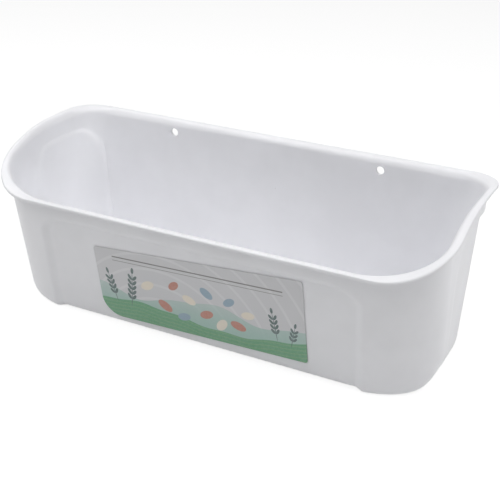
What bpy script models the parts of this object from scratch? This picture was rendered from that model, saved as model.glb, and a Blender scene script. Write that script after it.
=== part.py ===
"""Hanging feed trough for poultry: a plastic moulding with a flared rim, and the sticker on its front panel.

The frame is in metres with +Z up. X runs along the trough, -Y is the low front that the birds feed from,
and +Y is the high back that hangs against a wall or a fence. The origin is the middle of the underside.
"""
import math

import bmesh
import bpy
import numpy as np

# Rim, measured over its outer edge
RIM_LENGTH = 0.340
RIM_DEPTH = 0.1356
FRONT_HEIGHT = 0.0921
BACK_HEIGHT = 0.1146
RISE_SHARE = 0.62
RIM_CROWN = 0.0028
CROWN_LEAN_POWER = 1.4
RIM_FRONT_RADIUS = 0.043
RIM_BACK_RADIUS = 0.021
RIM_REACH = 0.0043
RIM_FILLET = 0.0025
RIM_EDGE_BEVEL = 0.0007

# Moulded wall
WALL = 0.0024
FRONT_DRAFT = math.radians(5.7)
END_DRAFT = math.radians(1.5)
BACK_DRAFT = math.radians(3.0)
WALL_CORNER_LENGTH = 0.052
WALL_CORNER_DEPTH = 0.035
WALL_BACK_RADIUS = 0.025
BASE_CORNER_LENGTH = 0.0545
BASE_CORNER_DEPTH = 0.0373
BASE_BACK_RADIUS = 0.044

# Rounding between wall and floor: small in front, large and upright round the ends
FRONT_FOOT_RADIUS = 0.0040
END_FOOT_RADIUS = 0.0165
FOOT_TURN_POWER = 4.4
FOOT_UPRIGHT = 1.48

# Sunk panels of the front and the two ends
PANEL_TOP_SHARE = 0.85
PANEL_TOP_DEPTH = 0.0025
PANEL_FOOT_DEPTH = 0.0029
PANEL_SIDE_STEP = 0.0075
PANEL_TOP_STEP = 0.0042
FRONT_PANEL_HALF_LENGTH = 0.1187
FRONT_PANEL_FOOT_RADIUS = 0.0063
FRONT_PANEL_CORNER_LENGTH = 0.019
FRONT_PANEL_CORNER_HEIGHT = 0.0125
END_PANEL_FRONT = -0.010
END_PANEL_BACK = 0.060
END_PANEL_FOOT_RADIUS = 0.0084
END_PANEL_CORNER_LENGTH = 0.014
END_PANEL_CORNER_HEIGHT = 0.030

# Screw holes through the back wall
HOLE_RADIUS = 0.003
HOLE_SPACING_SHARE = 0.4941
HOLE_DROP = 0.0095
HOLE_LAND = 0.0055
HOLE_SIDES = 24
CUT_OVERRUN = 0.010

# Sticker
LABEL_LENGTH = 0.160
LABEL_LEFT_HEIGHT = 0.0565
LABEL_RIGHT_HEIGHT = 0.064
LABEL_THICKNESS = 0.0003
LABEL_GAP = 0.0003
LABEL_TURN = math.radians(1.8)
LABEL_MIDDLE = 0.0030
LABEL_FOOT = 0.0094
LABEL_LOW_LEFT_RADIUS = 0.0150
LABEL_CORNER_RADIUS = 0.0020
LABEL_ARC_STEPS = 6

# How finely the moulding is drawn, in shares: the front panel's flat part and its corner, the step at its
# side in step widths, the rest of the front turn, the end, the back turn, the back, and the rows up the wall
FLAT_SHARES = (0.0, 0.5, 1.0)
CORNER_SHARES = (0.3, 0.55, 0.74)
STEP_SHARES = (-0.30, -0.10, 0.10, 0.30, 0.50)
FRONT_TURN_SHARES = (0.10, 0.20, 0.30, 0.40, 0.50, 0.60, 0.70, 0.80, 0.90)
END_RUN_SHARES = (0.0, 0.05, 0.11, 0.17, 0.25, 0.40, 0.60, 0.80)
BACK_TURN_SHARES = (0.0, 0.12, 0.24, 0.36, 0.48, 0.60, 0.73, 0.86)
BACK_MIDDLE_SHARES = (0.5, 0.0)
FOOT_SHARES = (0.0, 0.17, 0.34, 0.50, 0.67, 0.84)
WALL_SHARES = (0.0, 0.2, 0.4, 0.56, 0.66, 0.73, 0.785, 0.825, 0.86, 0.89, 0.92, 0.955, 1.0)
FILLET_SHARES = (0.34, 0.67, 1.0)

MATERIALS = {
    "moulded_plastic": ((0.74, 0.745, 0.78), 0.42),
    "printed_film": ((0.36, 0.40, 0.37), 0.55),
}


def clear_scene():
    """Removes whatever the opened file holds."""
    for item in list(bpy.data.objects):
        bpy.data.objects.remove(item, do_unlink=True)


def new_collection(name):
    """A collection linked to the scene."""
    collection = bpy.data.collections.new(name)
    bpy.context.scene.collection.children.link(collection)
    return collection


def new_material(name):
    """A Principled material with the named colour and roughness."""
    colour, roughness = MATERIALS[name]
    material = bpy.data.materials.new(name)
    material.use_nodes = True
    shader = material.node_tree.nodes["Principled BSDF"]
    shader.inputs["Base Color"].default_value = (*colour, 1.0)
    shader.inputs["Roughness"].default_value = roughness
    shader.inputs["Metallic"].default_value = 0.0
    return material


def smooth(share):
    """Smooth step from 0 to 1 as the share goes from 0 to 1."""
    held = np.clip(share, 0.0, 1.0)
    return held * held * (3.0 - 2.0 * held)


def front_columns():
    """Places along X of the columns that draw the front panel, its corner and the step at its side."""
    flat_end = FRONT_PANEL_HALF_LENGTH - FRONT_PANEL_CORNER_LENGTH
    columns = [flat_end * share for share in FLAT_SHARES]
    columns += [flat_end + FRONT_PANEL_CORNER_LENGTH * share for share in CORNER_SHARES]
    columns += [FRONT_PANEL_HALF_LENGTH + PANEL_SIDE_STEP * share for share in STEP_SHARES]
    return columns


def hole_place():
    """Place of the right screw hole along X."""
    return RIM_LENGTH * HOLE_SPACING_SHARE / 2


def half_outline(half_length, front, back, corner_length, corner_depth, back_radius):
    """Points and outward normals of a rounded rectangle's right half, from mid front to mid back.

    The front corner is a quarter ellipse, and the back corner is a quarter circle. Columns stand on both
    sides of the front panel's edge and of the screw hole.
    """
    front_run = half_length - corner_length
    columns = front_columns()
    turns = [math.asin(max(0.0, min(1.0, (across - front_run) / corner_length))) for across in columns]
    last = turns[-1]
    for share in FRONT_TURN_SHARES:
        turns.append(last + (math.pi / 2 - last) * share)
        columns.append(front_run + corner_length * math.sin(turns[-1]))
    points = []
    normals = []
    for turn, across in zip(turns, columns):
        points.append((across, front + corner_depth * (1.0 - math.cos(turn))))
        out = np.array((math.sin(turn) / corner_length, -math.cos(turn) / corner_depth))
        normals.append(out / np.linalg.norm(out))
    end_run = back - back_radius - front - corner_depth
    for share in END_RUN_SHARES:
        points.append((half_length, front + corner_depth + end_run * share))
        normals.append((1.0, 0.0))
    back_run = half_length - back_radius
    for share in BACK_TURN_SHARES:
        turn = math.pi / 2 * share
        out = (math.cos(turn), math.sin(turn))
        points.append((back_run + back_radius * out[0], back - back_radius + back_radius * out[1]))
        normals.append(out)
    land = HOLE_RADIUS + HOLE_LAND
    back_columns = [back_run, hole_place() + land, hole_place() - land]
    back_columns += [(hole_place() - land) * share for share in BACK_MIDDLE_SHARES]
    for across in back_columns:
        points.append((across, back))
        normals.append((0.0, 1.0))
    return np.array(points), np.array(normals)


def rim_outline():
    """The rim's outer edge in plan."""
    return half_outline(RIM_LENGTH / 2, -RIM_DEPTH / 2, RIM_DEPTH / 2, RIM_FRONT_RADIUS, RIM_FRONT_RADIUS,
                        RIM_BACK_RADIUS)


def wall_outline(height):
    """The wall's outer face in plan at one height, drafted in from the rim towards the base."""
    share = height / BACK_HEIGHT
    half_length = RIM_LENGTH / 2 - RIM_REACH - (BACK_HEIGHT - height) * math.tan(END_DRAFT)
    front = -RIM_DEPTH / 2 + RIM_REACH + (FRONT_HEIGHT - height) * math.tan(FRONT_DRAFT)
    back = RIM_DEPTH / 2 - RIM_REACH - (BACK_HEIGHT - height) * math.tan(BACK_DRAFT)
    corner_length = BASE_CORNER_LENGTH + (WALL_CORNER_LENGTH - BASE_CORNER_LENGTH) * share
    corner_depth = BASE_CORNER_DEPTH + (WALL_CORNER_DEPTH - BASE_CORNER_DEPTH) * share
    back_radius = BASE_BACK_RADIUS + (WALL_BACK_RADIUS - BASE_BACK_RADIUS) * share
    return half_outline(half_length, front, back, corner_length, corner_depth, back_radius)


def rim_height(depth_place):
    """Rim height across the trough: a quarter sine up from the low front, and a crown over the ends."""
    share = np.clip((depth_place + RIM_DEPTH / 2) / RIM_DEPTH, 0.0, 1.0)
    rise = np.sin(np.pi / 2 * np.clip(share / RISE_SHARE, 0.0, 1.0))
    crown = np.sin(np.pi * share ** CROWN_LEAN_POWER)
    return FRONT_HEIGHT + (BACK_HEIGHT - FRONT_HEIGHT) * rise + RIM_CROWN * crown


def edge_share(beside, below, corner_length, corner_height):
    """How many step widths a point lies inside a panel's edge, whose top corners are quarter ellipses.

    beside and below are its distances from the panel's side and from the panel's top.
    """
    from_side = np.clip(1.0 - beside / corner_length, 0.0, None) ** 2
    from_top = np.clip(1.0 - below / corner_height, 0.0, None) ** 2
    both = from_side + from_top
    side_part = from_side / np.maximum(both, np.finfo(float).tiny)
    step = side_part * PANEL_SIDE_STEP / corner_length + (1.0 - side_part) * PANEL_TOP_STEP / corner_height
    return (1.0 - np.sqrt(both)) / step


def panel_mask(points, normals, heights, tops):
    """How far each point is sunk into a panel, from 0 on the wall to 1 inside the panel."""
    across, deep = points[:, 0], points[:, 1]
    below = PANEL_TOP_SHARE * tops - heights
    front = edge_share(FRONT_PANEL_HALF_LENGTH - across, below, FRONT_PANEL_CORNER_LENGTH,
                       FRONT_PANEL_CORNER_HEIGHT)
    beside_end = np.minimum(deep - END_PANEL_FRONT, END_PANEL_BACK - deep)
    end = edge_share(beside_end, below, END_PANEL_CORNER_LENGTH, END_PANEL_CORNER_HEIGHT)
    front_mask = smooth(front + 0.5) * (normals[:, 1] < -0.5)
    end_mask = smooth(end + 0.5) * (normals[:, 0] > 0.5)
    return np.maximum(front_mask, end_mask)


def foot_size(normals, mask):
    """Depth and height of the foot's rounding at each column, with its own depth in the panels."""
    turned = np.abs(normals[:, 0])
    depth = FRONT_FOOT_RADIUS + (END_FOOT_RADIUS - FRONT_FOOT_RADIUS) * turned ** FOOT_TURN_POWER
    panel_radius = np.where(normals[:, 1] < -0.5, FRONT_PANEL_FOOT_RADIUS, END_PANEL_FOOT_RADIUS)
    depth = depth + (panel_radius - depth) * mask
    return depth, depth * (1.0 + (FOOT_UPRIGHT - 1.0) * turned)


def panel_depth(heights, tops):
    """Depth of a panel below the wall's face, growing evenly from its top down to the foot."""
    share = heights / (PANEL_TOP_SHARE * tops)
    return PANEL_FOOT_DEPTH + (PANEL_TOP_DEPTH - PANEL_FOOT_DEPTH) * share


def wall_row(heights, tops, foot_inset):
    """One row of wall points: each column's outline at its own height, sunk by the foot and the panel."""
    points = []
    normals = []
    for column, height in enumerate(heights):
        outline, outward = wall_outline(height)
        points.append(outline[column])
        normals.append(outward[column])
    points = np.array(points)
    normals = np.array(normals)
    inset = foot_inset + panel_mask(points, normals, heights, tops) * panel_depth(heights, tops)
    placed = points - normals * inset[:, None]
    return np.column_stack([placed, heights])


def trough_rows():
    """Rows of the moulding's outer face, from the floor's edge up the wall and out under the rim."""
    edge = rim_outline()[0]
    tops = rim_height(edge[:, 1])
    base, base_normals = wall_outline(0.0)
    base_mask = panel_mask(base, base_normals, np.zeros(len(base)), tops)
    foot_depth, foot_height = foot_size(base_normals, base_mask)
    under_rim = tops - WALL
    rows = []
    for share in FOOT_SHARES:
        turn = math.pi / 2 * share
        heights = foot_height * (1.0 - math.cos(turn))
        rows.append(wall_row(heights, tops, foot_depth * (1.0 - math.sin(turn))))
    for share in WALL_SHARES:
        heights = foot_height + (under_rim - RIM_FILLET - foot_height) * share
        rows.append(wall_row(heights, tops, np.zeros(len(tops))))
    wall_top = rows[-1]
    for share in FILLET_SHARES:
        turn = math.pi / 2 * share
        out_share = RIM_FILLET * (1.0 - math.cos(turn)) / RIM_REACH
        plan = wall_top[:, :2] + (edge - wall_top[:, :2]) * out_share
        rows.append(np.column_stack([plan, under_rim - RIM_FILLET * (1.0 - math.sin(turn))]))
    rows.append(np.column_stack([edge, under_rim]))
    for row in rows:
        row[0, 0] = 0.0
        row[-1, 0] = 0.0
    return rows


def add_object(name, mesh, collection):
    """An object that shows a mesh, linked to a collection."""
    item = bpy.data.objects.new(name, mesh)
    collection.objects.link(item)
    return item


def screw_hole(side, collection):
    """Cutter for one screw hole, along Y through the back wall."""
    bm = bmesh.new()
    bmesh.ops.create_cone(bm, cap_ends=True, segments=HOLE_SIDES, radius1=HOLE_RADIUS, radius2=HOLE_RADIUS,
                          depth=2 * CUT_OVERRUN)
    mesh = bpy.data.meshes.new("screw_hole")
    bm.to_mesh(mesh)
    bm.free()
    cutter = add_object("screw_hole_" + ("right" if side > 0 else "left"), mesh, collection)
    cutter.location = (side * hole_place(), RIM_DEPTH / 2 - RIM_REACH - WALL / 2, BACK_HEIGHT - HOLE_DROP)
    cutter.rotation_euler = (math.pi / 2, 0.0, 0.0)
    cutter.hide_render = True
    cutter.display_type = "WIRE"
    return cutter


def build_trough(parts, cutters):
    """The moulding: half its outer face as a loft, mirrored, then its wall, edge rounding and screw holes."""
    rows = trough_rows()
    columns = len(rows[0])
    bm = bmesh.new()
    grid = [[bm.verts.new(point) for point in row] for row in rows]
    for lower, upper in zip(grid, grid[1:]):
        for column in range(columns - 1):
            bm.faces.new((lower[column], lower[column + 1], upper[column + 1], upper[column]))
    bm.faces.new(list(reversed(grid[0])))
    for face in bm.faces:
        face.smooth = True
    mesh = bpy.data.meshes.new("trough")
    bm.to_mesh(mesh)
    bm.free()
    trough = add_object("trough", mesh, parts)
    trough.data.materials.append(new_material("moulded_plastic"))

    mirror = trough.modifiers.new("other_half", "MIRROR")
    mirror.use_axis = (True, False, False)
    mirror.merge_threshold = 0.0001

    shell = trough.modifiers.new("wall", "SOLIDIFY")
    shell.thickness = WALL
    shell.offset = -1.0
    shell.use_even_offset = True

    rounding = trough.modifiers.new("rim_edge", "BEVEL")
    rounding.limit_method = "ANGLE"
    rounding.angle_limit = math.radians(60.0)
    rounding.width = RIM_EDGE_BEVEL
    rounding.segments = 2

    for side in (-1, 1):
        drill = trough.modifiers.new("screw_hole", "BOOLEAN")
        drill.operation = "DIFFERENCE"
        drill.solver = "EXACT"
        drill.object = screw_hole(side, cutters)
    return trough


def rounded_corner(before, corner, after, radius):
    """Points of the arc that rounds one corner of an outline."""
    corner = np.array(corner)
    towards_before = np.array(before) - corner
    towards_before /= np.linalg.norm(towards_before)
    towards_after = np.array(after) - corner
    towards_after /= np.linalg.norm(towards_after)
    half_angle = math.acos(float(towards_before @ towards_after)) / 2
    middle = towards_before + towards_after
    centre = corner + middle / np.linalg.norm(middle) * radius / math.sin(half_angle)
    start = corner + towards_before * radius / math.tan(half_angle) - centre
    finish = corner + towards_after * radius / math.tan(half_angle) - centre
    sweep = math.atan2(start[0] * finish[1] - start[1] * finish[0], float(start @ finish))
    arc = []
    for step in range(LABEL_ARC_STEPS + 1):
        turn = sweep * step / LABEL_ARC_STEPS
        arc.append(centre + np.array([start[0] * math.cos(turn) - start[1] * math.sin(turn),
                                      start[0] * math.sin(turn) + start[1] * math.cos(turn)]))
    return arc


def label_outline():
    """The sticker's outline in its panel's plane: four sides, taller on the right, a little turned."""
    half = LABEL_LENGTH / 2
    corners = []
    for across, up in ((-half, 0.0), (half, 0.0), (half, LABEL_RIGHT_HEIGHT), (-half, LABEL_LEFT_HEIGHT)):
        corners.append((across * math.cos(LABEL_TURN) - up * math.sin(LABEL_TURN),
                        across * math.sin(LABEL_TURN) + up * math.cos(LABEL_TURN)))
    radii = [LABEL_LOW_LEFT_RADIUS, LABEL_CORNER_RADIUS, LABEL_CORNER_RADIUS, LABEL_CORNER_RADIUS]
    outline = []
    for index, radius in enumerate(radii):
        after = corners[(index + 1) % len(corners)]
        outline += rounded_corner(corners[index - 1], corners[index], after, radius)
    return outline


def build_label(parts):
    """The printed sticker: a thin flat sheet just clear of the front panel's face."""
    curve = bpy.data.curves.new("label", "CURVE")
    curve.dimensions = "2D"
    curve.fill_mode = "BOTH"
    curve.extrude = LABEL_THICKNESS / 2
    outline = label_outline()
    spline = curve.splines.new("POLY")
    spline.points.add(len(outline) - 1)
    for point, place in zip(spline.points, outline):
        point.co = (place[0], place[1], 0.0, 1.0)
    spline.use_cyclic_u = True
    label = add_object("label", curve, parts)
    label.data.materials.append(new_material("printed_film"))

    panel_top = PANEL_TOP_SHARE * FRONT_HEIGHT
    panel_slope = math.tan(FRONT_DRAFT) + (PANEL_FOOT_DEPTH - PANEL_TOP_DEPTH) / panel_top
    tilt = math.atan(panel_slope)
    foot_face = -RIM_DEPTH / 2 + RIM_REACH + FRONT_HEIGHT * math.tan(FRONT_DRAFT) + PANEL_FOOT_DEPTH
    face = foot_face - LABEL_FOOT * panel_slope
    stand_off = LABEL_GAP + LABEL_THICKNESS / 2
    height = LABEL_FOOT - stand_off * math.sin(tilt)
    label.location = (LABEL_MIDDLE, face - stand_off * math.cos(tilt), height)
    label.rotation_euler = (math.pi / 2 + tilt, 0.0, 0.0)
    return label


def main():
    """Builds the whole trough."""
    clear_scene()
    parts = new_collection("hanging_feed_trough")
    cutters = new_collection("cutters")
    build_trough(parts, cutters)
    build_label(parts)


main()
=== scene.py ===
"""Hanging feed trough: its moulding and its sticker in full detail, on a pale floor under soft light."""
import math

import bpy
import numpy as np
from bpy.props import FloatProperty, FloatVectorProperty, PointerProperty
from bpy.types import Operator, Panel, PropertyGroup
from mathutils import Matrix, Vector


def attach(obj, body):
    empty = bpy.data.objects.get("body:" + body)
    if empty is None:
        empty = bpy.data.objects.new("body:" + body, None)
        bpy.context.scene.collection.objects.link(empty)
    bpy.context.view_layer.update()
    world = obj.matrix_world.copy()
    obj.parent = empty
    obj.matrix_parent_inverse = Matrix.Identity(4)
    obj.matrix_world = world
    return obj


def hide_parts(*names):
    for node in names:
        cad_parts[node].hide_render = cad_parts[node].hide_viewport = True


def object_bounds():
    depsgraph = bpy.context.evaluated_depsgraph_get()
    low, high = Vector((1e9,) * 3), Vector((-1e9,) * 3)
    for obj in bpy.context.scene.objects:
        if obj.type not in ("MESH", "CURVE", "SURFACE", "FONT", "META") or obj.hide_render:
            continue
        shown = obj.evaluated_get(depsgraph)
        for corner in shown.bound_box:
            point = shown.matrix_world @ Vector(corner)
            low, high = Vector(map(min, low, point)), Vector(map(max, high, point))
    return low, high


bl_info = {
    "name": "Hanging feed trough",
    "version": (1, 0, 0),
    "blender": (4, 5, 0),
    "location": "View3D > Sidebar > Feed trough",
    "description": "Builds a moulded feed trough with its sticker, and the stage around it",
    "category": "Object",
}

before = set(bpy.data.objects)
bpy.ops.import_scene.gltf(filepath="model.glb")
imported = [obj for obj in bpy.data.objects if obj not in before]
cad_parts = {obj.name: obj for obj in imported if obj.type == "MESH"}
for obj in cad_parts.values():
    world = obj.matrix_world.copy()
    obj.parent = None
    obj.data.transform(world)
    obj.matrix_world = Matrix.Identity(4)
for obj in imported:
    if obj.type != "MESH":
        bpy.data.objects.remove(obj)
CAD_BOX = [list(map(float, corner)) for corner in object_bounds()]

# The moulding's grid: runs of start, end and count, as stations round it and as shares of the wall's height
RING_RUN_SHARES = ((0.0, 0.78, 24), (0.78, 1.0, 22), (1.0, 1.35, 26), (1.35, 2.0, 34), (2.0, 3.0, 36),
                   (3.0, 4.0, 40), (4.0, 5.0, 44))
WALL_RUN_SHARES = ((0.0, 0.50, 13), (0.50, 0.72, 9), (0.72, 0.84, 8), (0.84, 0.95, 13), (0.95, 1.0, 4))
FLOOR_RING_SHARES = (0.25, 0.55, 0.85, 0.97)
FOOT_STEPS = 14
LIP_STEPS = 11
SHARP_ANGLE = math.radians(40.0)

# The sticker's grid
LABEL_COLUMNS = 60
LABEL_ROWS = 25
LABEL_CORNER_STEPS = 9

# Tone and finish of the plastic: scale of its clouds, their limits, tones and roughness, and its specks
CLOUD_SCALE = 26.0
CLOUD_LIMITS = (0.3, 0.7)
CLOUD_TONES = (0.975, 1.015)
CLOUD_ROUGHNESS = 0.05
PLASTIC_IOR = 1.49
SPECK_CHANCE = 0.22
SPECK_LEAST_SHARE = 0.35
SPECK_STRENGTH = 0.75

# The film: its mottle, and the waves where it is stuck down
MOTTLE_SCALE = 700.0
MOTTLE_STRENGTH = 0.10
FILM_WAVE_SCALE = 60.0
FILM_WAVE_HEIGHT = 0.00008
FILM_ROUGHNESS = (0.50, 0.60)

# The print, in shares of the sticker's length: wavy lines as length, shift and height of their sines
FAR_WAVE_SHARES = ((0.62, 2.4, 0.028), (0.29, 0.6, 0.009))
FAR_LEVEL_SHARE = 0.155
NEAR_WAVE_SHARES = ((0.95, 0.4, 0.026), (0.21, 1.9, 0.004))
NEAR_LEVEL_SHARE = 0.078
FURROW_SPACING_SHARE = 0.019
ARC_CENTRE_SHARES = (0.30, -0.10, 0.0)
ARC_SPACING_SHARE = 0.075
RULE_SHARES = ((0.318, 0.0052), (0.300, 0.0018))
RULE_END_SHARES = (0.09, 0.91)

# The floor as the camera and reflections see it: its own colour, and what it gives off
SEEN_FLOOR_COLOUR = (0.30, 0.30, 0.30, 1.0)
SEEN_FLOOR_GLOW = 0.82
FLOOR_GAP = 0.0002

# The lights: name, place, size and the setting that holds the power
LIGHT_AIM = (0.0, 0.0, 0.05)
LIGHTS = (("top_light", (0.0, 0.10, 1.30), 1.4, "top_power"),
          ("front_light", (-0.25, -0.60, 1.20), 0.8, "front_power"),
          ("right_light", (0.85, 0.15, 1.10), 0.7, "right_power"),
          ("left_light", (-0.85, 0.15, 1.10), 0.7, "left_power"),
          ("low_right_light", (1.15, -0.25, 0.55), 0.7, "low_right_power"),
          ("low_left_light", (-0.75, -0.95, 0.65), 0.8, "low_left_power"))


def length_setting(name, description, default):
    """A length."""
    return FloatProperty(name=name, description=description, default=default, unit="LENGTH")


def lengths_setting(name, description, default):
    """Two lengths that belong together."""
    return FloatVectorProperty(name=name, description=description, default=default, size=2, unit="LENGTH")


def angle_setting(name, description, default):
    """An angle."""
    return FloatProperty(name=name, description=description, default=default, subtype="ANGLE")


def factor_setting(name, description, default):
    """A share."""
    return FloatProperty(name=name, description=description, default=default, subtype="FACTOR")


def number_setting(name, description, default):
    """A plain number."""
    return FloatProperty(name=name, description=description, default=default)


def power_setting(name, description, default):
    """The power of a light."""
    return FloatProperty(name=name, description=description, default=default, unit="POWER")


def colour_setting(name, description, default):
    """A colour."""
    return FloatVectorProperty(name=name, description=description, default=default, size=3, subtype="COLOR")


class TroughSizes(PropertyGroup):
    """Sizes of the moulding."""
    rim_length: length_setting("Rim length", "Over the rim's outer edge, along X", 0.340)
    rim_depth: length_setting("Rim depth", "Over the rim's outer edge, along Y", 0.1356)
    front_height: length_setting("Front height", "Height of the low front rim", 0.0921)
    back_height: length_setting("Back height", "Height of the high back rim", 0.1146)
    rise_share: factor_setting("Rise share", "Share of the depth over which the rim climbs", 0.62)
    rim_crown: length_setting("Rim crown", "Extra height of the rim over the ends", 0.0028)
    crown_lean: number_setting("Crown lean", "Power that leans the crown to the back", 1.4)
    rim_front_radius: length_setting("Front rim radius", "Rim's corner in plan, at the front", 0.043)
    rim_back_radius: length_setting("Back rim radius", "Rim's corner in plan, at the back", 0.021)
    rim_reach: length_setting("Rim reach", "How far the rim stands out from the wall", 0.0043)
    rim_fillet: length_setting("Rim fillet", "Rounding under the rim", 0.0025)
    wall: length_setting("Wall", "Thickness of the plastic", 0.0024)
    front_draft: angle_setting("Front draft", "Lean of the front wall", math.radians(5.7))
    end_draft: angle_setting("End draft", "Lean of the end walls", math.radians(1.5))
    back_draft: angle_setting("Back draft", "Lean of the back wall", math.radians(3.0))
    corner_length: lengths_setting("Corner length", "Front corner along X, at base and top",
                                   (0.0545, 0.052))
    corner_depth: lengths_setting("Corner depth", "Front corner along Y, at base and top",
                                  (0.0373, 0.035))
    back_radius: lengths_setting("Back corner", "Back corner's radius, at base and top", (0.044, 0.025))
    front_foot: length_setting("Front foot", "Rounding between front wall and floor", 0.0040)
    end_foot: length_setting("End foot", "Rounding between end wall and floor", 0.0165)
    foot_power: number_setting("Foot turn", "How late the foot grows round a corner", 4.4)
    foot_upright: number_setting("Foot upright", "Height of the end foot over its depth", 1.48)
    hole_radius: length_setting("Hole radius", "Radius of the screw holes", 0.003)
    hole_spacing: length_setting("Hole spacing", "Between the two screw holes", 0.168)
    hole_drop: length_setting("Hole drop", "From the back rim down to the holes", 0.0095)
    hole_flare: length_setting("Hole flare", "Rounding of the holes' edges", 0.0003)


class PanelSizes(PropertyGroup):
    """Sizes of the sunk panels in the front and the ends."""
    top_share: factor_setting("Top share", "Height of a panel's top over the rim's height", 0.85)
    depth: lengths_setting("Depth", "Depth of a panel, at its foot and at its top", (0.0029, 0.0025))
    inside_share: factor_setting("Inside share", "Depth of a panel inside over its depth outside", 0.55)
    side_step: length_setting("Side step", "Width of the slope at a panel's side", 0.0075)
    top_step: length_setting("Top step", "Height of the slope at a panel's top", 0.0042)
    front_foot: length_setting("Front panel foot", "Rounding between front panel and floor", 0.0063)
    end_foot: length_setting("End panel foot", "Rounding between end panel and floor", 0.0084)
    front_half: length_setting("Front panel half length", "From the middle to the panel's side", 0.1187)
    front_corner: lengths_setting("Front panel corner", "Length and height of its corners",
                                  (0.019, 0.0125))
    end_sides: lengths_setting("End panel sides", "Places of its sides along Y", (-0.010, 0.060))
    end_corner: lengths_setting("End panel corner", "Length and height of its corners", (0.014, 0.030))


class PlasticLook(PropertyGroup):
    """Colour and finish of the moulded plastic."""
    colour: colour_setting("Colour", "Cool white of the plastic", (0.90, 0.902, 0.928))
    speck_colour: colour_setting("Speck colour", "Colour of the few specks in the plastic",
                                 (0.40, 0.39, 0.38))
    roughness: factor_setting("Roughness", "Roughness of the moulded face", 0.40)
    grain_size: length_setting("Grain size", "Size of the fine grain", 0.0011)
    grain_height: length_setting("Grain height", "Height of the fine grain", 0.00002)
    ripple_size: length_setting("Ripple size", "Size of the soft ripples", 0.030)
    ripple_height: length_setting("Ripple height", "Height of the soft ripples", 0.00010)
    speck_spacing: length_setting("Speck spacing", "Between the places where a speck may be", 0.016)
    speck_radius: length_setting("Speck radius", "Radius of a speck", 0.00042)


class LabelSizes(PropertyGroup):
    """Sizes of the sticker."""
    length: length_setting("Length", "Length of the sticker", 0.160)
    left_height: length_setting("Left height", "Height at its left side", 0.0565)
    right_height: length_setting("Right height", "Height at its right side", 0.064)
    thickness: length_setting("Thickness", "Thickness of the film", 0.0003)
    gap: length_setting("Gap", "Between the film and the panel", 0.0003)
    turn: angle_setting("Turn", "How far it is stuck on turned", math.radians(1.8))
    middle: length_setting("Middle", "Place of its middle along X", 0.0030)
    foot: length_setting("Foot", "Height of its lower edge", 0.0094)
    low_left_radius: length_setting("Low left radius", "Radius of its lower left corner", 0.0150)
    corner_radius: length_setting("Corner radius", "Radius of its other corners", 0.0020)


class LabelColours(PropertyGroup):
    """Colours of the print on the sticker."""
    field: colour_setting("Field", "Pale ground", (0.681, 0.681, 0.698))
    line: colour_setting("Line", "Arcs on the ground", (0.785, 0.785, 0.801))
    mint: colour_setting("Mint", "Far field", (0.392, 0.567, 0.512))
    green: colour_setting("Green", "Near field", (0.169, 0.387, 0.229))
    furrow: colour_setting("Furrow", "Furrows of the near field", (0.294, 0.458, 0.262))
    leaf: colour_setting("Leaf", "Dark ears", (0.131, 0.185, 0.180))
    rose: colour_setting("Rose", "Warm kernels", (0.545, 0.262, 0.207))
    cream: colour_setting("Cream", "Pale kernels", (0.850, 0.785, 0.676))
    slate: colour_setting("Slate", "Blue grey kernels", (0.327, 0.436, 0.523))
    rule: colour_setting("Rule", "Two thin plain rules", (0.218, 0.213, 0.207))


class StageSettings(PropertyGroup):
    """Camera, light and floor."""
    azimuth: angle_setting("Azimuth", "Camera's place round the trough", math.radians(27.8099))
    elevation: angle_setting("Elevation", "Camera's place above the floor", math.radians(27.35064))
    roll: angle_setting("Roll", "Camera's turn about its own view", math.radians(-0.36981))
    distance: length_setting("Distance", "From the camera to its aim", 0.7035726)
    aim: FloatVectorProperty(name="Aim", description="Point that the camera looks at", size=3,
                             default=(0.0129854, 0.0, 0.0541838), subtype="TRANSLATION", unit="LENGTH")
    lens: number_setting("Lens", "Focal length in millimetres on a 36 mm sensor", 72.0294)
    top_power: power_setting("Top light", "Power of the wide light overhead", 3.2)
    front_power: power_setting("Front light", "Power of the light over the front", 5.6)
    right_power: power_setting("Right light", "Power of the light over the right end", 6.6)
    low_right_power: power_setting("Low right light", "Power of the lower light on the right", 2.2)
    left_power: power_setting("Left light", "Power of the light over the left end", 3.6)
    low_left_power: power_setting("Low left light", "Power of the lower light on the left", 2.2)
    world_strength: number_setting("Room light", "Strength of the even light all round", 0.02)
    floor_half: length_setting("Floor half size", "Half the floor's side", 3.0)
    floor_colour: colour_setting("Floor colour", "Colour of the floor", (0.77, 0.77, 0.77))


def smooth(share):
    """Smooth step: 3 t squared minus 2 t cubed, with t held between 0 and 1."""
    held = np.clip(share, 0.0, 1.0)
    return held * held * (3.0 - 2.0 * held)


def blend_up(pair, share):
    """Straight blend from the first of a pair at the base to the second at the top."""
    return pair[0] + (pair[1] - pair[0]) * share


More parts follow.
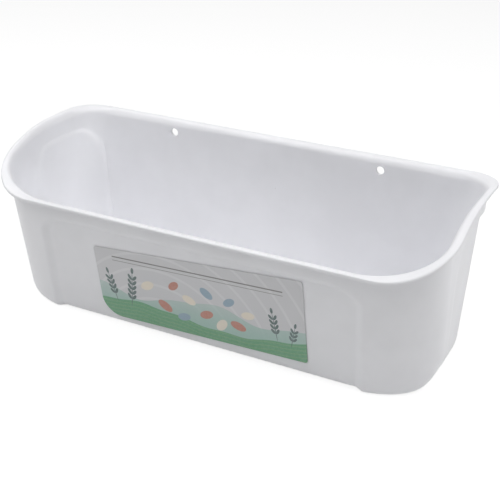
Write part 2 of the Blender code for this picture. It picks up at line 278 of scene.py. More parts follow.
def outline(station, half_length, front, back, corner_length, corner_depth, back_radius):
    """Right half of a rounded rectangle in plan, by station from 0 at mid front to 5 at mid back.

    Stations 0 to 1 run along the front, 1 to 2 round the front corner, a quarter ellipse, 2 to 3 along the
    end, 3 to 4 round the back corner, a quarter circle, and 4 to 5 along the back. Each part adds its own
    share of its run, so X is run a + length sin b - radius (1 - cos d) - (half length - radius) e, and Y is
    front + depth (1 - cos b) + side run c + radius sin d.
    """
    front_share = np.clip(station, 0.0, 1.0)
    front_turn = np.clip(station - 1.0, 0.0, 1.0) * math.pi / 2
    end_share = np.clip(station - 2.0, 0.0, 1.0)
    back_turn = np.clip(station - 3.0, 0.0, 1.0) * math.pi / 2
    back_share = np.clip(station - 4.0, 0.0, 1.0)
    across = ((half_length - corner_length) * front_share + corner_length * np.sin(front_turn)
              - back_radius * (1.0 - np.cos(back_turn)) - (half_length - back_radius) * back_share)
    end_run = back - back_radius - front - corner_depth
    deep = (front + corner_depth * (1.0 - np.cos(front_turn)) + end_run * end_share
            + back_radius * np.sin(back_turn))
    out_x = np.sin(front_turn) / corner_length
    out_y = -np.cos(front_turn) / corner_depth
    size = np.hypot(out_x, out_y)
    behind = station > 3.0
    out_x = np.where(behind, np.cos(back_turn), out_x / size)
    out_y = np.where(behind, np.sin(back_turn), out_y / size)
    return across, deep, out_x, out_y


def rim_outline(sizes, station):
    """The rim's outer edge in plan."""
    return outline(station, sizes.rim_length / 2, -sizes.rim_depth / 2, sizes.rim_depth / 2,
                   sizes.rim_front_radius, sizes.rim_front_radius, sizes.rim_back_radius)


def wall_outline(sizes, station, height):
    """The wall's outer face in plan at each height, drafted in from the rim towards the base."""
    share = height / sizes.back_height
    drop = sizes.back_height - height
    half_length = sizes.rim_length / 2 - sizes.rim_reach - drop * math.tan(sizes.end_draft)
    front = (-sizes.rim_depth / 2 + sizes.rim_reach
             + (sizes.front_height - height) * math.tan(sizes.front_draft))
    back = sizes.rim_depth / 2 - sizes.rim_reach - drop * math.tan(sizes.back_draft)
    return outline(station, half_length, front, back, blend_up(sizes.corner_length, share),
                   blend_up(sizes.corner_depth, share), blend_up(sizes.back_radius, share))


def rim_height(sizes, deep):
    """Rim height across the trough: a quarter sine from front height to back height, plus a crown sine."""
    share = np.clip((deep + sizes.rim_depth / 2) / sizes.rim_depth, 0.0, 1.0)
    rise = np.sin(math.pi / 2 * np.clip(share / sizes.rise_share, 0.0, 1.0))
    crown = np.sin(math.pi * share ** sizes.crown_lean)
    return sizes.front_height + (sizes.back_height - sizes.front_height) * rise + sizes.rim_crown * crown


def edge_share(panels, beside, below, corner):
    """Step widths inside a panel's edge, whose top corners are quarter ellipses.

    With a and b the shortfalls from the side and from the top over the corner's length and height, it is one
    less the root of a squared plus b squared, over the step width there.
    """
    from_side = np.clip(1.0 - beside / corner[0], 0.0, None) ** 2
    from_top = np.clip(1.0 - below / corner[1], 0.0, None) ** 2
    both = from_side + from_top
    side_part = from_side / np.maximum(both, np.finfo(float).tiny)
    step = side_part * panels.side_step / corner[0] + (1.0 - side_part) * panels.top_step / corner[1]
    return (1.0 - np.sqrt(both)) / step


def panel_mask(panels, across, deep, out_x, out_y, height, top):
    """How far each point is sunk into a panel, from 0 on the wall to 1 inside the panel."""
    below = panels.top_share * top - height
    front = edge_share(panels, panels.front_half - across, below, panels.front_corner)
    beside = np.minimum(deep - panels.end_sides[0], panels.end_sides[1] - deep)
    end = edge_share(panels, beside, below, panels.end_corner)
    return np.maximum(smooth(front + 0.5) * (out_y < -0.5), smooth(end + 0.5) * (out_x > 0.5))


def spaced(runs):
    """Even places along each run of start, end and count. Only the last run holds its own end."""
    last = len(runs) - 1
    return np.concatenate([np.linspace(*run, endpoint=index == last) for index, run in enumerate(runs)])


def ring_stations():
    """Stations of one ring round the trough, and +1 or -1 for the right and the left half."""
    half = spaced(RING_RUN_SHARES)
    left = half[-2:0:-1]
    return np.concatenate([half, left]), np.concatenate([np.ones(len(half)), -np.ones(len(left))])


def outer_face(sizes, panels, station, side, depth_share=1.0):
    """Underside, foot and wall as rows of rings, with the panels at a share of their depth.

    The inside is worked out from this face too, with a smaller share.

    The underside is the foot's first ring drawn in towards its middle. The foot is a quarter ellipse: its
    inset is depth (1 - sin t) and its height is tall (1 - cos t). The wall is its drafted outline, less the
    panel's depth along the outline's normal.
    """
    edge_y = rim_outline(sizes, station)[1]
    top = rim_height(sizes, edge_y)
    across, deep, out_x, out_y = wall_outline(sizes, station, np.zeros_like(station))
    mask = panel_mask(panels, across, deep, out_x, out_y, np.zeros_like(station), top)
    turned = np.abs(out_x)
    foot_depth = sizes.front_foot + (sizes.end_foot - sizes.front_foot) * turned ** sizes.foot_power
    panel_radius = np.where(out_y < -0.5, panels.front_foot, panels.end_foot)
    foot_depth = foot_depth + (panel_radius - foot_depth) * mask
    foot_height = foot_depth * (1.0 + (sizes.foot_upright - 1.0) * turned)
    turn = (np.linspace(0.0, 1.0, FOOT_STEPS, endpoint=False) * math.pi / 2)[:, None]
    wall_top = top - sizes.wall - sizes.rim_fillet
    share = spaced(WALL_RUN_SHARES)[:, None]
    height = np.vstack([foot_height * (1.0 - np.cos(turn)), foot_height + (wall_top - foot_height) * share])
    inset = np.vstack([foot_depth * (1.0 - np.sin(turn)), np.zeros((len(share), len(station)))])
    across, deep, out_x, out_y = wall_outline(sizes, station, height)
    mask = panel_mask(panels, across, deep, out_x, out_y, height, top)
    panel_share = height / (panels.top_share * top)
    inset = inset + mask * blend_up(panels.depth, panel_share) * depth_share
    rings = np.stack([side * (across - out_x * inset), deep - out_y * inset, height], axis=-1)
    middle = np.array([0.0, rings[0, :, 1].mean(), 0.0])
    inward = np.array(FLOOR_RING_SHARES)[:, None, None]
    underside = middle + (rings[0] - middle) * inward
    return np.concatenate([underside, rings])


def inner_face(outer, wall):
    """The inside: every point of a face moved in by the wall's thickness along the surface's normal."""
    along = np.roll(outer, -1, axis=1) - np.roll(outer, 1, axis=1)
    upward = np.gradient(outer, axis=0)
    out = np.cross(along, upward)
    out /= np.linalg.norm(out, axis=-1, keepdims=True)
    out[:len(FLOOR_RING_SHARES) + 1] = (0.0, 0.0, -1.0)
    return outer - out * wall


def rim_face(sizes, station, side, outer_top, inner_top):
    """The rim as rows of rings, from the fillet under it, round its lip and over into the inside.

    Every ring is the wall's top ring carried outwards along the line to the rim's edge. The fillet is a
    quarter circle, the lip a half circle of half the wall's thickness, and the turn into the trough a
    quarter circle about the fillet's own centre, larger by the wall. What that circle's end misses the
    inside's top ring by is added along it, as the square of the share of the turn.
    """
    edge_x, edge_y = rim_outline(sizes, station)[:2]
    edge = np.stack([side * edge_x, edge_y], axis=-1)
    run = edge - outer_top[:, :2]
    reach = np.linalg.norm(run, axis=-1)
    out = run / reach[:, None]
    under = rim_height(sizes, edge_y) - sizes.wall
    lip = sizes.wall / 2
    rows = []

    def add(distance, height):
        """Adds a ring at a run outwards from the wall and a height."""
        plan = outer_top[:, :2] + out * distance[:, None]
        rows.append(np.column_stack([plan, height]))

    centre = np.full_like(reach, sizes.rim_fillet)
    for turn in np.linspace(0.0, math.pi / 2, 7)[1:]:
        add(centre * (1.0 - math.cos(turn)), under - sizes.rim_fillet * (1.0 - math.sin(turn)))
    for turn in np.linspace(-math.pi / 2, math.pi / 2, LIP_STEPS):
        add(reach - lip + lip * math.cos(turn), under + lip + lip * math.sin(turn))
    radius = sizes.rim_fillet + sizes.wall
    end_plan = outer_top[:, :2] + out * (centre - radius)[:, None]
    turn_end = np.column_stack([end_plan, under - sizes.rim_fillet])
    for turn in np.linspace(math.pi / 2, 0.0, 10)[:-1]:
        blend = (1.0 - turn / (math.pi / 2)) ** 2
        add(centre - radius * math.cos(turn), under - sizes.rim_fillet + radius * math.sin(turn))
        rows[-1] += (inner_top - turn_end) * blend
    return np.array(rows)


def closed_mesh(name, rings):
    """A closed mesh from rows of rings: quads between neighbours, and a fan round a point at either end."""
    rows, columns = rings.shape[:2]
    points = np.vstack([rings.reshape(-1, 3), rings[0].mean(axis=0), rings[-1].mean(axis=0)])
    row, column = np.meshgrid(np.arange(rows - 1), np.arange(columns), indexing="ij")
    following = (column + 1) % columns
    quads = np.stack([row * columns + column, row * columns + following, (row + 1) * columns + following,
                      (row + 1) * columns + column], axis=-1).reshape(-1, 4)
    ring = np.arange(columns)
    after = (ring + 1) % columns
    first_pole, last_pole = rows * columns, rows * columns + 1
    last = (rows - 1) * columns
    fans = np.concatenate([np.stack([np.full(columns, first_pole), after, ring], axis=-1),
                           np.stack([last + ring, last + after, np.full(columns, last_pole)], axis=-1)])
    mesh = bpy.data.meshes.new(name)
    mesh.from_pydata(points.tolist(), [], quads.tolist() + fans.tolist())
    mesh.polygons.foreach_set("use_smooth", np.ones(len(mesh.polygons), dtype=bool))
    mesh.update()
    return mesh


def new_object(name, mesh):
    """An object at the origin that shows a mesh."""
    item = bpy.data.objects.new(name, mesh)
    bpy.context.scene.collection.objects.link(item)
    return item


def hole_cutter(sizes, side):
    """A turned cutter square to the back wall: a straight bore whose ends open out as quarter rounds."""
    half_wall = sizes.wall / 2
    reach = half_wall + 4 * sizes.wall
    flare = sizes.hole_flare
    turn = np.linspace(0.0, math.pi / 2, 6)
    opening = sizes.hole_radius + flare * (1.0 - np.cos(turn))
    place = half_wall - flare + flare * np.sin(turn)
    radius = np.concatenate([opening[-1:], opening[::-1], opening, opening[-1:]])
    along = np.concatenate([[-reach], -place[::-1], place, [reach]])
    around = np.linspace(0.0, 2 * math.pi, 48, endpoint=False)
    rings = np.stack([radius[:, None] * np.cos(around), radius[:, None] * np.sin(around),
                      along[:, None] + 0.0 * around], axis=-1)
    mesh = closed_mesh("hole_cutter", rings)
    lean = math.tan(sizes.back_draft)
    face = sizes.rim_depth / 2 - sizes.rim_reach - sizes.hole_drop * lean
    normal = Vector((0.0, math.cos(sizes.back_draft), -math.sin(sizes.back_draft)))
    on_face = Vector((side * sizes.hole_spacing / 2, face, sizes.back_height - sizes.hole_drop))
    turned = normal.to_track_quat("Z", "Y").to_matrix().to_4x4()
    mesh.transform(Matrix.Translation(on_face - normal * half_wall) @ turned)
    return new_object("hole_cutter", mesh)


def drill(piece, cutter):
    """Takes a cutter out of a piece and removes the cutter."""
    hole = piece.modifiers.new("hole", "BOOLEAN")
    hole.operation = "DIFFERENCE"
    hole.solver = "EXACT"
    hole.object = cutter
    bpy.context.view_layer.update()
    cut = bpy.data.meshes.new_from_object(piece.evaluated_get(bpy.context.evaluated_depsgraph_get()))
    piece.modifiers.clear()
    piece.data = cut
    bpy.data.objects.remove(cutter, do_unlink=True)


def add_node(tree, kind, inputs=None, **settings):
    """A shader node with its settings, its constants, and links for inputs that come from other nodes."""
    made = tree.nodes.new(kind)
    for name, value in settings.items():
        setattr(made, name, value)
    for key, value in (inputs or {}).items():
        if isinstance(value, bpy.types.NodeSocket):
            tree.links.new(value, made.inputs[key])
        else:
            made.inputs[key].default_value = value
    return made


def maths(tree, operation, *values):
    """Output of a Math node."""
    return add_node(tree, "ShaderNodeMath", dict(enumerate(values)), operation=operation).outputs[0]


def ramp(tree, value, low, high):
    """Smooth step of a value from 0 at low to 1 at high."""
    made = add_node(tree, "ShaderNodeMapRange",
                    {"Value": value, "From Min": low, "From Max": high, "To Min": 0.0, "To Max": 1.0},
                    interpolation_type="SMOOTHSTEP")
    return made.outputs["Result"]


def spread(tree, cloud, ends):
    """A noise between the clouds' limits, spread in a straight line between two ends."""
    made = add_node(tree, "ShaderNodeMapRange",
                    {"Value": cloud, "From Min": CLOUD_LIMITS[0], "From Max": CLOUD_LIMITS[1],
                     "To Min": ends[0], "To Max": ends[1]})
    return made.outputs["Result"]


def mix(tree, share, first, second):
    """Output of a colour Mix node. Colours come as three numbers or as a socket."""
    made = add_node(tree, "ShaderNodeMix", data_type="RGBA")
    for socket, value in ((made.inputs[0], share), (made.inputs[6], first), (made.inputs[7], second)):
        if isinstance(value, bpy.types.NodeSocket):
            tree.links.new(value, socket)
        elif isinstance(value, (int, float)):
            socket.default_value = value
        else:
            socket.default_value = (*value, 1.0)
    return made.outputs[2]


def new_group(name, inputs, outputs):
    """A shader node group with its sockets, and its input and output nodes."""
    tree = bpy.data.node_groups.new(name, "ShaderNodeTree")
    for label, kind in inputs:
        tree.interface.new_socket(label, in_out="INPUT", socket_type=kind)
    for label, kind in outputs:
        tree.interface.new_socket(label, in_out="OUTPUT", socket_type=kind)
    return tree, tree.nodes.new("NodeGroupInput"), tree.nodes.new("NodeGroupOutput")


def speck_group():
    """Group: a mask of a few round specks, one in some of the cells of a spacing."""
    tree, given, result = new_group("plastic_specks",
                                    [("Vector", "NodeSocketVector"), ("Spacing", "NodeSocketFloat"),
                                     ("Radius", "NodeSocketFloat")], [("Mask", "NodeSocketFloat")])
    scale = maths(tree, "DIVIDE", 1.0, given.outputs["Spacing"])
    cells = add_node(tree, "ShaderNodeTexVoronoi", {"Vector": given.outputs["Vector"], "Scale": scale})
    channels = add_node(tree, "ShaderNodeSeparateColor", {"Color": cells.outputs["Color"]})
    chosen = maths(tree, "LESS_THAN", channels.outputs["Red"], SPECK_CHANCE)
    radius = maths(tree, "MULTIPLY", given.outputs["Radius"], scale)
    size = maths(tree, "MULTIPLY", radius, maths(tree, "ADD", channels.outputs["Green"], SPECK_LEAST_SHARE))
    dot = maths(tree, "LESS_THAN", cells.outputs["Distance"], size)
    tree.links.new(maths(tree, "MULTIPLY", chosen, dot), result.inputs["Mask"])
    return tree


def ellipse_group():
    """Group: a mask that is 1 inside an ellipse with a place, a turn and half sizes."""
    tree, given, result = new_group("print_ellipse",
                                    [("Vector", "NodeSocketVector"), ("Place", "NodeSocketVector"),
                                     ("Turn", "NodeSocketVector"), ("Half Size", "NodeSocketVector")],
                                    [("Mask", "NodeSocketFloat")])
    placed = add_node(tree, "ShaderNodeMapping",
                      {"Vector": given.outputs["Vector"], "Location": given.outputs["Place"],
                       "Rotation": given.outputs["Turn"], "Scale": given.outputs["Half Size"]},
                      vector_type="TEXTURE")
    length = add_node(tree, "ShaderNodeVectorMath", {0: placed.outputs["Vector"]}, operation="LENGTH")
    tree.links.new(ramp(tree, length.outputs["Value"], 1.04, 0.94), result.inputs["Mask"])
    return tree


def plastic_material(look):
    """White moulded plastic: a cool white with faint clouds, fine grain, soft ripples and a few specks."""
    material = bpy.data.materials.new("moulded_plastic")
    material.use_nodes = True
    tree = material.node_tree
    shader = tree.nodes["Principled BSDF"]
    place = add_node(tree, "ShaderNodeTexCoord").outputs["Object"]
    cloud = add_node(tree, "ShaderNodeTexNoise", {"Vector": place, "Scale": CLOUD_SCALE, "Detail": 3.0,
                                                  "Roughness": 0.55}).outputs["Fac"]
    dark, pale = ([min(1.0, tone * part) for part in look.colour] for tone in CLOUD_TONES)
    toned = mix(tree, ramp(tree, cloud, *CLOUD_LIMITS), dark, pale)
    specks = add_node(tree, "ShaderNodeGroup", node_tree=speck_group())
    tree.links.new(place, specks.inputs["Vector"])
    specks.inputs["Spacing"].default_value = look.speck_spacing
    specks.inputs["Radius"].default_value = look.speck_radius
    faint = maths(tree, "MULTIPLY", specks.outputs["Mask"], SPECK_STRENGTH)
    colour = mix(tree, faint, toned, look.speck_colour)
    tree.links.new(colour, shader.inputs["Base Color"])
    grain = add_node(tree, "ShaderNodeTexNoise", {"Vector": place, "Scale": 1.0 / look.grain_size,
                                                  "Detail": 2.0}).outputs["Fac"]
    ripple = add_node(tree, "ShaderNodeTexNoise", {"Vector": place, "Scale": 1.0 / look.ripple_size,
                                                   "Detail": 1.0}).outputs["Fac"]
    rough = spread(tree, cloud, (look.roughness - CLOUD_ROUGHNESS, look.roughness + CLOUD_ROUGHNESS))
    tree.links.new(rough, shader.inputs["Roughness"])
    soft = add_node(tree, "ShaderNodeBump", {"Strength": 1.0, "Distance": look.ripple_height,
                                             "Height": ripple})
    fine = add_node(tree, "ShaderNodeBump", {"Strength": 1.0, "Distance": look.grain_height, "Height": grain,
                                             "Normal": soft.outputs["Normal"]})
    tree.links.new(fine.outputs["Normal"], shader.inputs["Normal"])
    shader.inputs["IOR"].default_value = PLASTIC_IOR
    return material


def ear(x, y, lean, pairs, size):
    """Ellipses of one ear of grain: a thin stem, kernels in leaning pairs along it, and one at its tip."""
    up = np.array([math.sin(lean), math.cos(lean)])
    side = np.array([up[1], -up[0]])
    base = np.array([x, y])
    stem_length = size * (pairs + 2.2)
    shapes = [(*(base + up * stem_length / 2), math.pi / 2 - lean, stem_length / 2, size * 0.09)]
    for pair in range(pairs):
        for hand in (-1, 1):
            place = base + up * size * (2.2 + pair) + side * hand * size * 0.46
            shapes.append((*place, math.pi / 2 - lean - hand * 0.55, size * 0.62, size * 0.27))
    shapes.append((*(base + up * size * (2.6 + pairs)), math.pi / 2 - lean, size * 0.62, size * 0.27))
    return shapes


def print_motifs():
    """Shapes on the sticker by colour, as place, turn and half sizes in shares of the sticker's length."""
    dark = ear(0.085, 0.085, -0.20, 4, 0.024) + ear(0.155, 0.070, 0.16, 5, 0.026)
    dark += ear(0.870, 0.075, -0.12, 4, 0.023) + ear(0.930, 0.060, 0.22, 3, 0.021)
    pale = [(0.255, 0.205, 0.5, 0.036, 0.021), (0.460, 0.180, -0.4, 0.034, 0.020),
            (0.610, 0.090, 0.9, 0.036, 0.021), (0.740, 0.170, 0.2, 0.032, 0.019)]
    rose = [(0.335, 0.120, -0.6, 0.038, 0.022), (0.540, 0.125, 0.4, 0.034, 0.020),
            (0.690, 0.105, -0.3, 0.037, 0.021), (0.390, 0.235, 0.7, 0.030, 0.018)]
    blue = [(0.425, 0.085, 0.3, 0.033, 0.019), (0.550, 0.235, -0.7, 0.034, 0.020),
            (0.655, 0.215, 0.6, 0.031, 0.018)]
    return {"leaf": dark, "cream": pale, "rose": rose, "slate": blue}


def print_group(colours):
    """Group: the sticker's print from its UV map, whose unit is the sticker's length.

    Bands lie below wavy lines, y less than a level plus sines of x, and the near field has furrows, stripes
    of a sine of y over a slope. Arcs are rings round one point. Ears and kernels are ellipses.
    """
    tree, given, result = new_group("sticker_print", [("Vector", "NodeSocketVector")],
                                    [("Color", "NodeSocketColor")])
    parts = add_node(tree, "ShaderNodeSeparateXYZ", {"Vector": given.outputs["Vector"]})
    across, up = parts.outputs["X"], parts.outputs["Y"]

    def wavy(waves, level):
        """Height of a wavy line at each place across."""
        heights = []
        for length, shift, height in waves:
            turn = maths(tree, "MULTIPLY_ADD", across, 2 * math.pi / length, shift)
            heights.append(maths(tree, "MULTIPLY", maths(tree, "SINE", turn), height))
        return maths(tree, "ADD", maths(tree, "ADD", *heights), level)

    def under(line, soft):
        """Mask of what lies below a line, with a soft edge."""
        return ramp(tree, maths(tree, "SUBTRACT", line, up), -soft, soft)

    centre = add_node(tree, "ShaderNodeVectorMath", {0: given.outputs["Vector"], 1: ARC_CENTRE_SHARES},
                      operation="DISTANCE").outputs["Value"]
    arcs = maths(tree, "SINE", maths(tree, "MULTIPLY", centre, 2 * math.pi / ARC_SPACING_SHARE))
    arc_share = maths(tree, "MULTIPLY", ramp(tree, arcs, 0.78, 0.95), 0.6)
    colour = mix(tree, arc_share, colours.field, colours.line)
    far = under(wavy(FAR_WAVE_SHARES, FAR_LEVEL_SHARE), 0.0016)
    deepened = maths(tree, "MULTIPLY", far, ramp(tree, up, 0.235, 0.05))
    tint = maths(tree, "MULTIPLY_ADD", deepened, 0.55, maths(tree, "MULTIPLY", far, 0.4))
    colour = mix(tree, tint, colour, colours.mint)
    near = wavy(NEAR_WAVE_SHARES, NEAR_LEVEL_SHARE)
    sloped = maths(tree, "SUBTRACT", up, maths(tree, "MULTIPLY", near, 0.8))
    stripes = maths(tree, "SINE", maths(tree, "MULTIPLY", sloped, 2 * math.pi / FURROW_SPACING_SHARE))
    furrow_share = maths(tree, "MULTIPLY", ramp(tree, stripes, 0.35, 0.9), 0.45)
    field = mix(tree, furrow_share, colours.green, colours.furrow)
    colour = mix(tree, under(near, 0.0012), colour, field)
    ellipse = ellipse_group()
    for name, shapes in print_motifs().items():
        mask = None
        for x, y, turn, half_length, half_width in shapes:
            shape = add_node(tree, "ShaderNodeGroup", node_tree=ellipse)
            tree.links.new(given.outputs["Vector"], shape.inputs["Vector"])
            shape.inputs["Place"].default_value = (x, y, 0.0)
            shape.inputs["Turn"].default_value = (0.0, 0.0, turn)
            shape.inputs["Half Size"].default_value = (half_length, half_width, 1.0)
            inside = shape.outputs["Mask"]
            mask = inside if mask is None else maths(tree, "MAXIMUM", mask, inside)
        colour = mix(tree, mask, colour, getattr(colours, name))
    start, finish = RULE_END_SHARES
    for level, width in RULE_SHARES:
        tilted = maths(tree, "MULTIPLY_ADD", across, -0.012, up)
        away = maths(tree, "ABSOLUTE", maths(tree, "SUBTRACT", tilted, level))
        rule = maths(tree, "MULTIPLY", ramp(tree, away, width / 2 + 0.0009, width / 2 - 0.0003),
                     maths(tree, "MULTIPLY", ramp(tree, across, start, start + 0.002),
                           ramp(tree, across, finish, finish - 0.002)))
        colour = mix(tree, rule, colour, colours.rule)
    tree.links.new(colour, result.inputs["Color"])
    return tree


def film_material(colours):
    """Printed film: the print with a faint mottle, a satin face and slight waves where it is stuck down."""
    material = bpy.data.materials.new("printed_film")
    material.use_nodes = True
    tree = material.node_tree
    shader = tree.nodes["Principled BSDF"]
    flat = add_node(tree, "ShaderNodeUVMap", uv_map="print").outputs["UV"]
    art = add_node(tree, "ShaderNodeGroup", node_tree=print_group(colours))
    tree.links.new(flat, art.inputs["Vector"])
    place = add_node(tree, "ShaderNodeTexCoord").outputs["Object"]
    mottle = add_node(tree, "ShaderNodeTexNoise", {"Vector": place, "Scale": MOTTLE_SCALE,
                                                   "Detail": 2.0}).outputs["Fac"]
    pale = mix(tree, MOTTLE_STRENGTH, art.outputs["Color"], tuple(colours.field))
    colour = mix(tree, ramp(tree, mottle, 0.25, 0.75), art.outputs["Color"], pale)
    tree.links.new(colour, shader.inputs["Base Color"])
    waves = add_node(tree, "ShaderNodeTexNoise", {"Vector": place, "Scale": FILM_WAVE_SCALE,
                                                  "Detail": 1.5}).outputs["Fac"]
    tree.links.new(spread(tree, waves, FILM_ROUGHNESS), shader.inputs["Roughness"])
    bump = add_node(tree, "ShaderNodeBump", {"Strength": 1.0, "Distance": FILM_WAVE_HEIGHT, "Height": waves})
    tree.links.new(bump.outputs["Normal"], shader.inputs["Normal"])
    return material


def label_mesh(sizes, panels, label):
    """The sticker as a closed thin sheet of two grids.

    Column x runs from its lower edge to its upper edge. The upper edge is a straight line from the left
    height to the right height, and a corner of radius r takes off r less the root of r squared minus the
    square of what x lacks of r from that side.
    """
    half = label.length / 2
    turn = np.linspace(0.0, math.pi / 2, LABEL_CORNER_STEPS)
    small = label.corner_radius * (1.0 - np.cos(turn))
    large = label.low_left_radius * (1.0 - np.cos(turn))
    left = np.unique(np.concatenate([small, large]))
    middle = np.linspace(-half + label.low_left_radius, half - label.corner_radius, LABEL_COLUMNS)[1:-1]
    across = np.concatenate([-half + left, middle, half - small[::-1]])

    def cut(radius, distance):
        """What a rounded corner takes off at a distance from its side."""
        lack = np.clip(radius - distance, 0.0, radius)
        return radius - np.sqrt(np.maximum(radius * radius - lack * lack, 0.0))

    lower = cut(label.low_left_radius, across + half) + cut(label.corner_radius, half - across)
    upper = (label.left_height + (label.right_height - label.left_height) * (across + half) / label.length
             - cut(label.corner_radius, across + half) - cut(label.corner_radius, half - across))
    share = np.linspace(0.0, 1.0, LABEL_ROWS)[:, None]
    up = lower + (upper - lower) * share
    across = across + 0.0 * up
    panel_top = panels.top_share * sizes.front_height
    slope = math.tan(sizes.front_draft) + (panels.depth[0] - panels.depth[1]) / panel_top
    lean = math.atan(slope)
    foot_face = (-sizes.rim_depth / 2 + sizes.rim_reach + sizes.front_height * math.tan(sizes.front_draft)
                 + panels.depth[0])
    start = Vector((label.middle, foot_face - label.foot * slope, label.foot))
    place = (Matrix.Translation(start) @ Matrix.Rotation(math.pi / 2 + lean, 4, "X")
             @ Matrix.Rotation(label.turn, 4, "Z"))
    sheets = []
    for height in (label.gap + label.thickness, label.gap):
        sheets.append(np.stack([across, up, np.full_like(up, height)], axis=-1))
    rows, columns = up.shape
    points = np.concatenate([sheet.reshape(-1, 3) for sheet in sheets])
    row, column = np.meshgrid(np.arange(rows - 1), np.arange(columns - 1), indexing="ij")
    corner = (row * columns + column).reshape(-1)
    front = np.stack([corner, corner + 1, corner + 1 + columns, corner + columns], axis=-1)
    back = front[:, ::-1] + rows * columns
    index = np.arange(rows * columns).reshape(rows, columns)
    loop = np.concatenate([index[0, :-1], index[:-1, -1], index[-1, :0:-1], index[:0:-1, 0]])
    after = np.roll(loop, -1)
    edge = np.stack([loop, loop + rows * columns, after + rows * columns, after], axis=-1)
    mesh = bpy.data.meshes.new("label_print")
    mesh.from_pydata(points.tolist(), [], np.concatenate([front, back, edge]).tolist())
    corners = np.empty(len(mesh.loops), dtype=np.int64)
    mesh.loops.foreach_get("vertex_index", corners)
    flat = np.column_stack([(points[corners, 0] + half) / label.length, points[corners, 1] / label.length])
    mesh.uv_layers.new(name="print").data.foreach_set("uv", flat.ravel())
    mesh.transform(place)
    mesh.update()
    return mesh


def seen_share(tree):
    """1 for camera, glossy and transmission rays, which see the pale stage, and 0 for the rest."""
    rays = add_node(tree, "ShaderNodeLightPath").outputs
    mirrored = maths(tree, "MAXIMUM", rays["Is Glossy Ray"], rays["Is Transmission Ray"])
    return maths(tree, "MAXIMUM", rays["Is Camera Ray"], mirrored)


def floor_material(stage):
    """Pale floor that looks white to the camera where nothing shades it, and keeps a soft shadow."""
    material = bpy.data.materials.new("floor")
    material.use_nodes = True
    tree = material.node_tree
    tree.nodes.remove(tree.nodes["Principled BSDF"])
    seen = seen_share(tree)
    plain = add_node(tree, "ShaderNodeBsdfDiffuse", {"Color": (*stage.floor_colour, 1.0)})
    faint = add_node(tree, "ShaderNodeBsdfDiffuse", {"Color": SEEN_FLOOR_COLOUR})
    glow = add_node(tree, "ShaderNodeEmission", {"Color": (1.0, 1.0, 1.0, 1.0), "Strength": SEEN_FLOOR_GLOW})
    bright = add_node(tree, "ShaderNodeAddShader", {0: faint.outputs[0], 1: glow.outputs[0]})
    both = add_node(tree, "ShaderNodeMixShader", {0: seen, 1: plain.outputs[0], 2: bright.outputs[0]})
    tree.links.new(both.outputs[0], tree.nodes["Material Output"].inputs["Surface"])
    return material


def set_world(strength):
    """Even room light, and plain white behind everything for the camera and in reflections."""
    world = bpy.data.worlds.new("room")
    world.use_nodes = True
    tree = world.node_tree
    seen = seen_share(tree)
    light = maths(tree, "ADD", seen, maths(tree, "MULTIPLY", maths(tree, "SUBTRACT", 1.0, seen), strength))
    tree.links.new(light, tree.nodes["Background"].inputs["Strength"])
    tree.nodes["Background"].inputs["Color"].default_value = (1.0, 1.0, 1.0, 1.0)
    bpy.context.scene.world = world


def add_light(name, place, size, power, aim):
    """A square area light that faces a point."""
    light = bpy.data.lights.new(name, "AREA")
    light.shape = "SQUARE"
    light.size = size
    light.energy = power
    lamp = bpy.data.objects.new(name, light)
    bpy.context.scene.collection.objects.link(lamp)
    lamp.location = place
    lamp.rotation_euler = (Vector(aim) - Vector(place)).to_track_quat("-Z", "Y").to_euler()
    return lamp


def add_camera(stage):
    """The camera, placed by its azimuth, elevation, distance and roll about its aim."""
    azimuth, elevation = stage.azimuth, stage.elevation
    back = Vector((math.sin(azimuth) * math.cos(elevation), -math.cos(azimuth) * math.cos(elevation),
                   math.sin(elevation)))
    camera = bpy.data.cameras.new("camera")
    camera.lens = stage.lens
    camera.sensor_width = 36.0
    camera.clip_start = 0.01
    item = bpy.data.objects.new("camera", camera)
    bpy.context.scene.collection.objects.link(item)
    upright = back.to_track_quat("Z", "Y").to_matrix().to_4x4()
    item.matrix_world = (Matrix.Translation(Vector(stage.aim) + back * stage.distance) @ upright
                         @ Matrix.Rotation(stage.roll, 4, "Z"))
    bpy.context.scene.camera = item


class FEEDTROUGH_OT_moulding(Operator):
    """Builds the moulded trough with its rim, panels and screw holes"""
    bl_idname = "feedtrough.moulding"
    bl_label = "Build the moulding"

    def execute(self, context):
        sizes, panels = context.scene.trough_sizes, context.scene.panel_sizes
        station, side = ring_stations()
        outer = outer_face(sizes, panels, station, side)
        shallow = outer_face(sizes, panels, station, side, panels.inside_share)
        inner = inner_face(shallow, sizes.wall)
        rim = rim_face(sizes, station, side, outer[-1], inner[-1])
        mesh = closed_mesh("trough_moulding", np.concatenate([outer, rim, inner[::-1]]))
        piece = new_object("trough_moulding", mesh)
        for hand in (-1, 1):
            drill(piece, hole_cutter(sizes, hand))
        piece.data.set_sharp_from_angle(angle=SHARP_ANGLE)
        piece.data.materials.clear()
        piece.data.materials.append(plastic_material(context.scene.plastic_look))
        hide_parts("trough")
        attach(piece, "root")
        return {"FINISHED"}


class FEEDTROUGH_OT_label(Operator):
    """Builds the printed sticker on the front panel"""
    bl_idname = "feedtrough.label"
    bl_label = "Build the sticker"

    def execute(self, context):
        scene = context.scene
        mesh = label_mesh(scene.trough_sizes, scene.panel_sizes, scene.label_sizes)
        piece = new_object("label_print", mesh)
        piece.data.materials.append(film_material(scene.label_colours))
        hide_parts("label")
        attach(piece, "root")
        return {"FINISHED"}


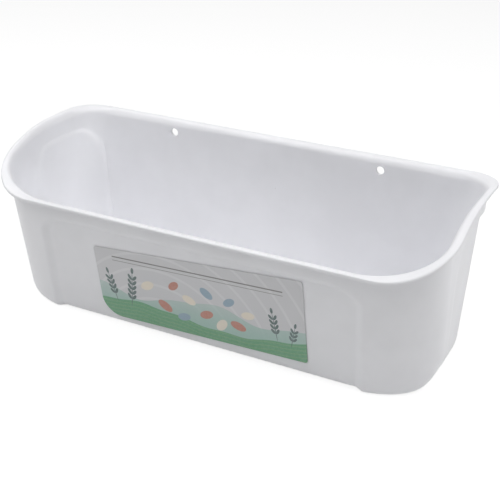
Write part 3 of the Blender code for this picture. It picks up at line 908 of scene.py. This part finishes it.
class FEEDTROUGH_OT_stage(Operator):
    """Builds the floor, the lights and the camera"""
    bl_idname = "feedtrough.stage"
    bl_label = "Build the stage"

    def execute(self, context):
        stage = context.scene.stage_settings
        half = stage.floor_half
        mesh = bpy.data.meshes.new("floor")
        level = CAD_BOX[0][2] - FLOOR_GAP
        corners = [(x * half, y * half, level) for x, y in ((-1, -1), (1, -1), (1, 1), (-1, 1))]
        mesh.from_pydata(corners, [], [(0, 1, 2, 3)])
        floor = new_object("floor", mesh)
        floor.data.materials.append(floor_material(stage))
        set_world(stage.world_strength)
        for name, place, size, setting in LIGHTS:
            add_light(name, place, size, getattr(stage, setting), LIGHT_AIM)
        add_camera(stage)
        context.scene.view_settings.view_transform = "Standard"
        return {"FINISHED"}


class FEEDTROUGH_PT_panel(Panel):
    """Sizes, colours and build steps of the feed trough"""
    bl_idname = "FEEDTROUGH_PT_panel"
    bl_label = "Feed trough"
    bl_space_type = "VIEW_3D"
    bl_region_type = "UI"
    bl_category = "Feed trough"

    def draw(self, context):
        for step in STEPS:
            self.layout.operator(step.bl_idname)
        for name in SETTINGS:
            group = getattr(context.scene, name)
            box = self.layout.box()
            box.label(text=type(group).__doc__)
            for field in type(group).__annotations__:
                box.prop(group, field)


SETTINGS = {"trough_sizes": TroughSizes, "panel_sizes": PanelSizes, "plastic_look": PlasticLook,
            "label_sizes": LabelSizes, "label_colours": LabelColours, "stage_settings": StageSettings}
STEPS = (FEEDTROUGH_OT_moulding, FEEDTROUGH_OT_label, FEEDTROUGH_OT_stage)


def register():
    """Registers the classes and puts the settings on the scene."""
    for item in (*SETTINGS.values(), *STEPS, FEEDTROUGH_PT_panel):
        bpy.utils.register_class(item)
    for name, group in SETTINGS.items():
        setattr(bpy.types.Scene, name, PointerProperty(type=group))


def unregister():
    """Takes the settings off the scene and the classes out again."""
    for name in SETTINGS:
        delattr(bpy.types.Scene, name)
    for item in reversed((*SETTINGS.values(), *STEPS, FEEDTROUGH_PT_panel)):
        bpy.utils.unregister_class(item)


def main():
    """Builds everything in order."""
    register()
    bpy.ops.feedtrough.moulding()
    bpy.ops.feedtrough.label()
    bpy.ops.feedtrough.stage()


if __name__ == "__main__":
    main()
